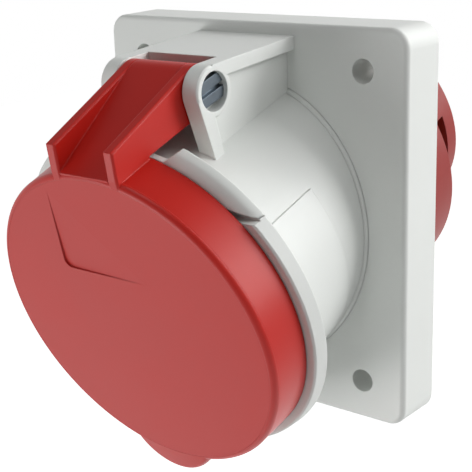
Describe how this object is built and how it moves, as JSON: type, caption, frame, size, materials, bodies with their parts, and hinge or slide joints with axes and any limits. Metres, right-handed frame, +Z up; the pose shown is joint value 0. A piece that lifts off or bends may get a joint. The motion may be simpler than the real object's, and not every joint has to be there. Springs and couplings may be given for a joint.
{
  "type": "industrial panel socket",
  "caption": "Panel-mounted industrial power socket with a square flange, a sloped round nose, a sprung hinged lid, pin contacts and a stepped terminal drum behind.",
  "frame": {"origin": "centre of the flange's back face, on the centre of the four fixing holes", "axes": "+X to the viewer's right, -Y out of the panel towards the user, +Z up"},
  "size_m": [0.084, 0.1119, 0.0979],
  "materials": {
    "grey_plastic": "fine matt moulding",
    "red_plastic": "satin moulding",
    "insert_plastic": "satin moulding",
    "seal_rubber": "dull",
    "contact_brass": "bright drawn",
    "pin_steel": "turned",
    "screw_steel": "zinc plated",
    "spring_steel": "drawn wire"
  },
  "bodies": {
    "socket": {"housing": "grey_plastic", "panel_gasket": "seal_rubber", "hinge_pin": "pin_steel", "lid_spring": "spring_steel", "contact_carrier": "insert_plastic", "carrier_plate": "insert_plastic", "carrier_seal": "seal_rubber", "terminal_base": "insert_plastic", "base_screws": "screw_steel", "contact_l3": "contact_brass", "grip_spring_l3": "spring_steel", "terminal_screw_l3": "screw_steel", "contact_n": "contact_brass", "grip_spring_n": "spring_steel", "terminal_screw_n": "screw_steel", "contact_pe": "contact_brass", "grip_spring_pe": "spring_steel", "terminal_screw_pe": "screw_steel", "contact_l1": "contact_brass", "grip_spring_l1": "spring_steel", "terminal_screw_l1": "screw_steel", "contact_l2": "contact_brass", "grip_spring_l2": "spring_steel", "terminal_screw_l2": "screw_steel"},
    "lid": {"lid": "red_plastic", "lid_gasket": "seal_rubber"}
  },
  "joints": [
    {"name": "lid_hinge", "type": "hinge", "parent": "socket", "child": "lid", "pos_m": [0, -0.04027, 0.03384], "axis": [-1, 0, 0], "range_deg": [0, 105], "stiffness_Nm_per_rad": 0.085, "springref_deg": -40.11, "deforming": ["lid_spring"]}
  ]
}
